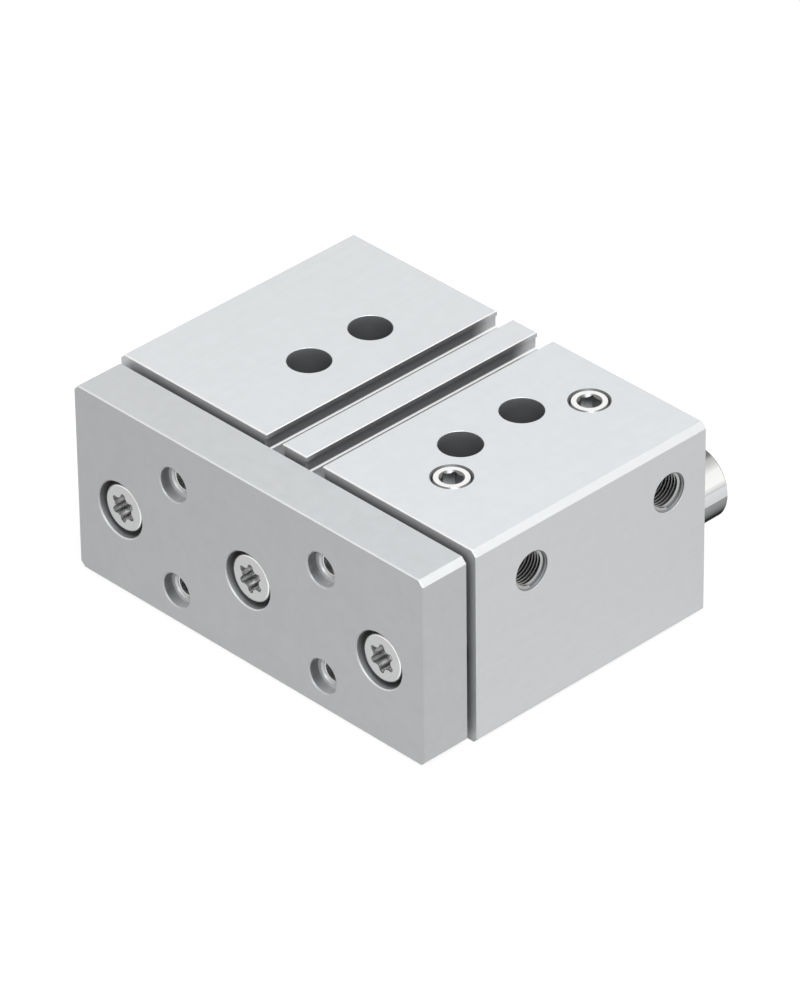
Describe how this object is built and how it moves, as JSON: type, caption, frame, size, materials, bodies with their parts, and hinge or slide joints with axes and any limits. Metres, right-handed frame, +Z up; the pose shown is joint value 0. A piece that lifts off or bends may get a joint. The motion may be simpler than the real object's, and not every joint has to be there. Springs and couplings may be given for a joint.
{
  "type": "guided pneumatic cylinder",
  "caption": "Compact guided pneumatic cylinder: block housing with sensor slots and side air ports, and a front plate carried by a piston rod between guide rods.",
  "frame": {"origin": "centre of the housing's bottom face", "axes": "+X across the housing to the side with the air ports, +Y to the rear, away from the front plate, +Z up"},
  "size_m": [0.12, 0.1064, 0.054],
  "materials": {
    "body_aluminium": "clear anodised, fine matt",
    "plate_aluminium": "clear anodised, fine matt",
    "inner_aluminium": "turned",
    "plug_steel": "nickel plated",
    "screw_steel": "zinc plated",
    "ring_steel": "phosphated",
    "rod_chrome": "hard chromed and polished",
    "bearing_bronze": "sintered",
    "seal_rubber": "smooth",
    "band_polymer": "moulded",
    "wiper_felt": "oiled felt",
    "magnet_steel": "bonded magnet"
  },
  "bodies": {
    "cylinder": {"housing": "body_aluminium", "bearing_cap": "inner_aluminium", "rear_cover": "inner_aluminium", "port_plugs": "plug_steel", "bearing_cap_o_ring": "seal_rubber", "rod_bush": "bearing_bronze", "rod_seal": "seal_rubber", "rod_wiper": "seal_rubber", "front_retaining_ring": "ring_steel", "rear_cover_o_ring": "seal_rubber", "rear_retaining_ring": "ring_steel", "front_guide_bush_left": "bearing_bronze", "front_guide_bush_right": "bearing_bronze", "rear_guide_bush_left": "bearing_bronze", "rear_guide_bush_right": "bearing_bronze", "guide_felt_left": "wiper_felt", "guide_felt_right": "wiper_felt", "front_guide_holder_left": "ring_steel", "front_guide_holder_right": "ring_steel"},
    "carriage": {"front_plate": "plate_aluminium", "plate_screws": "screw_steel", "guide_rod_left": "rod_chrome", "guide_rod_right": "rod_chrome", "piston_rod": "rod_chrome", "piston_front": "inner_aluminium", "piston_rear": "inner_aluminium", "piston_magnet": "magnet_steel", "piston_guide_band": "band_polymer", "piston_seal_front": "seal_rubber", "piston_seal_rear": "seal_rubber", "cushion_front": "seal_rubber", "cushion_rear": "seal_rubber", "piston_nut": "screw_steel", "piston_rod_o_ring": "seal_rubber"}
  },
  "joints": [
    {"name": "extend", "type": "slide", "parent": "cylinder", "child": "carriage", "axis": [0, -1, 0], "range_m": [0, 0.025]}
  ]
}
